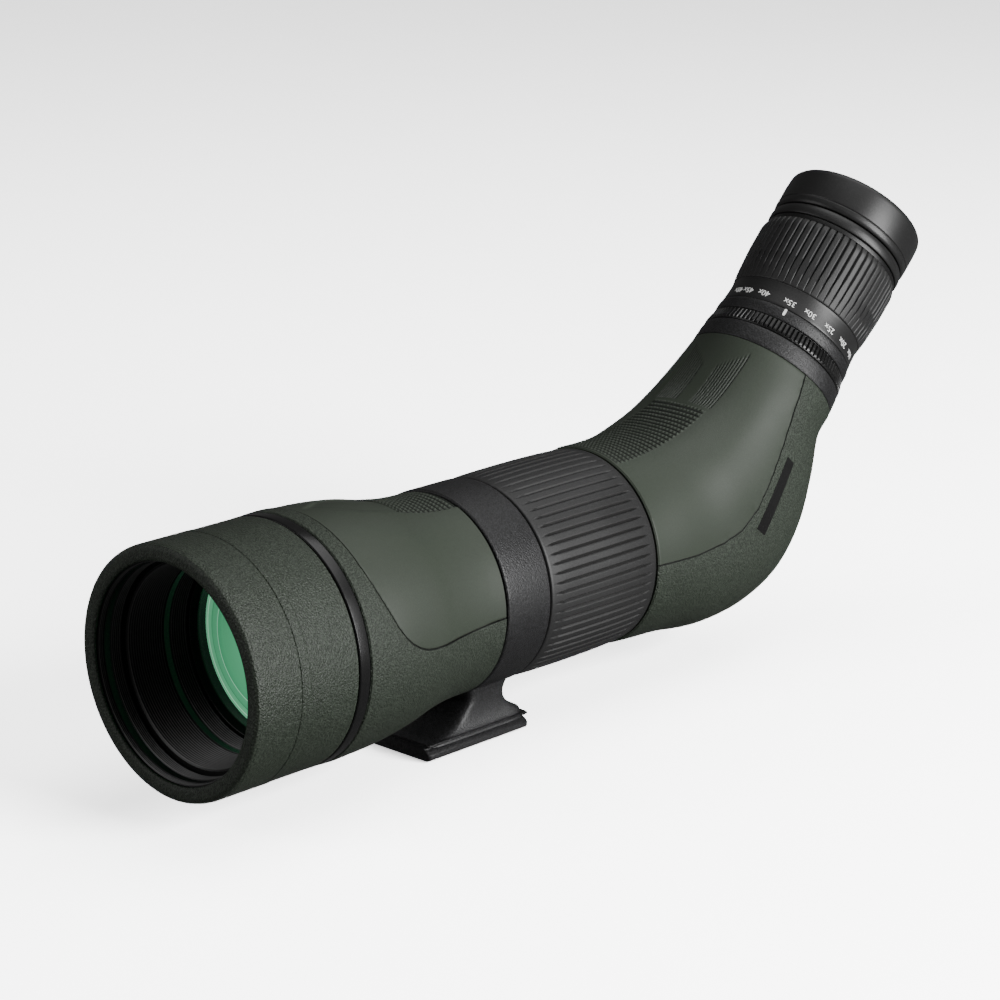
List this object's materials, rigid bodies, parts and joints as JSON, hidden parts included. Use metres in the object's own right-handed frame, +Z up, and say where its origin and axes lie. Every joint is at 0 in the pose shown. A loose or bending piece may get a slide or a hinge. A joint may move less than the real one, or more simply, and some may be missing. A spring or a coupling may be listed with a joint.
{
  "type": "spotting scope",
  "caption": "Angled spotting scope with sliding sunshade, focusing ring, zoom eyepiece, twist-up eyecup and a rotating tripod collar on a dovetail foot.",
  "frame": {"origin": "middle of the flat underside of the tripod foot", "axes": "+Z up out of the foot towards the scope, -Y along the view direction towards the objective, +Y towards the eyepiece end, +X to the user's left, where the name plate is"},
  "size_m": [0.0968, 0.3717, 0.1713],
  "materials": {
    "green_armour": "dark green rubber armour, fine pebble with smooth panels",
    "black_metal": "fine-grain black paint on aluminium",
    "black_rubber": "matte black ribbed rubber",
    "black_plastic": "satin black plastic",
    "brass": "machined brass",
    "steel": "turned steel",
    "coated_glass": "polished glass with a green anti-reflection coating"
  },
  "bodies": {
    "mount": {"collar_and_foot": "black_metal", "foot_bush": "brass", "stop_screw_front": "steel", "stop_screw_rear": "steel", "collar_liner": "black_plastic"},
    "clamp_knob": {"clamp_washer": "black_plastic", "clamp_knob": "black_metal", "clamp_knob_cap": "steel"},
    "scope_body": {"objective_barrel": "black_metal", "objective_cell": "black_metal", "objective_front_lens": "coated_glass", "objective_spacer": "black_metal", "objective_rear_lens": "coated_glass", "objective_lock_ring": "black_metal", "name_band": "black_plastic", "front_shell": "black_metal", "front_armour": "green_armour", "body_tube": "black_metal", "light_baffle": "black_metal", "rear_armour": "green_armour", "prism_housing": "black_metal", "side_plate": "black_plastic", "erector_prism": "coated_glass", "roof_prism": "coated_glass", "prism_bracket": "black_metal", "eyepiece_seat": "black_metal", "eyepiece_tube": "black_metal", "index_ring": "black_plastic", "top_ring": "black_plastic", "eye_lens": "coated_glass", "field_lens": "coated_glass"},
    "sunshade": {"sunshade_armour": "green_armour", "sunshade_sleeve": "black_metal", "filter_thread_ring": "black_metal"},
    "focus_ring": {"focus_sleeve": "black_metal", "focus_grip": "black_rubber"},
    "focus_cell": {"focus_cell": "black_metal", "focus_lens": "coated_glass"},
    "lock_ring": {"lock_ring": "black_metal"},
    "zoom_ring": {"zoom_cam": "brass", "zoom_scale_ring": "black_plastic", "zoom_grip": "black_rubber", "zoom_end_ring": "black_plastic"},
    "zoom_cell_lower": {"zoom_cell_lower": "black_metal", "zoom_lens_lower": "coated_glass"},
    "zoom_cell_upper": {"zoom_cell_upper": "black_metal", "zoom_lens_upper": "coated_glass"},
    "eyecup_guide": {"eyecup_guide_ring": "black_plastic"},
    "eyecup": {"eyecup_sleeve": "black_plastic", "eyecup_rubber": "black_rubber"}
  },
  "joints": [
    {"name": "collar_turn", "type": "hinge", "parent": "mount", "child": "scope_body", "pos_m": [0, 0, 0.0516], "axis": [0, 1, 0], "continuous": true},
    {"name": "clamp_turn", "type": "hinge", "parent": "mount", "child": "clamp_knob", "pos_m": [-0.043, 0.008, 0.0516], "axis": [-1, 0, 0], "range_deg": [0, 540]},
    {"name": "sunshade_slide", "type": "slide", "parent": "scope_body", "child": "sunshade", "axis": [0, -1, 0], "range_m": [0, 0.03]},
    {"name": "focus_turn", "type": "hinge", "parent": "scope_body", "child": "focus_ring", "pos_m": [0, 0, 0.0516], "axis": [0, 1, 0], "range_deg": [-170, 170]},
    {"name": "focus_travel", "type": "slide", "parent": "scope_body", "child": "focus_cell", "axis": [0, 1, 0], "range_m": [-0.0054, 0.0054]},
    {"name": "lock_turn", "type": "hinge", "parent": "scope_body", "child": "lock_ring", "pos_m": [0, 0.18147, 0.10357], "axis": [0, 0.7071, 0.7071], "range_deg": [0, 60]},
    {"name": "zoom_turn", "type": "hinge", "parent": "scope_body", "child": "zoom_ring", "pos_m": [0, 0.20021, 0.12231], "axis": [0, 0.7071, 0.7071], "range_deg": [-75, 52]},
    {"name": "zoom_travel_lower", "type": "slide", "parent": "scope_body", "child": "zoom_cell_lower", "axis": [0, 0.7071, 0.7071], "range_m": [-0.0056, 0.0039]},
    {"name": "zoom_travel_upper", "type": "slide", "parent": "scope_body", "child": "zoom_cell_upper", "axis": [0, 0.7071, 0.7071], "range_m": [-0.0039, 0.0056]},
    {"name": "eyecup_travel", "type": "slide", "parent": "scope_body", "child": "eyecup_guide", "axis": [0, 0.7071, 0.7071], "range_m": [0, 0.0088]},
    {"name": "eyecup_turn", "type": "hinge", "parent": "eyecup_guide", "child": "eyecup", "pos_m": [0, 0.22142, 0.14352], "axis": [0, 0.7071, 0.7071], "range_deg": [0, 100]}
  ],
  "couplings": [
    {"joint": "focus_travel", "follows": "focus_turn", "m_per_rad": 0.0018},
    {"joint": "zoom_travel_lower", "follows": "zoom_turn", "m_per_rad": 0.0042},
    {"joint": "zoom_travel_upper", "follows": "zoom_turn", "m_per_rad": -0.0042},
    {"joint": "eyecup_travel", "follows": "eyecup_turn", "m_per_rad": 0.005}
  ]
}
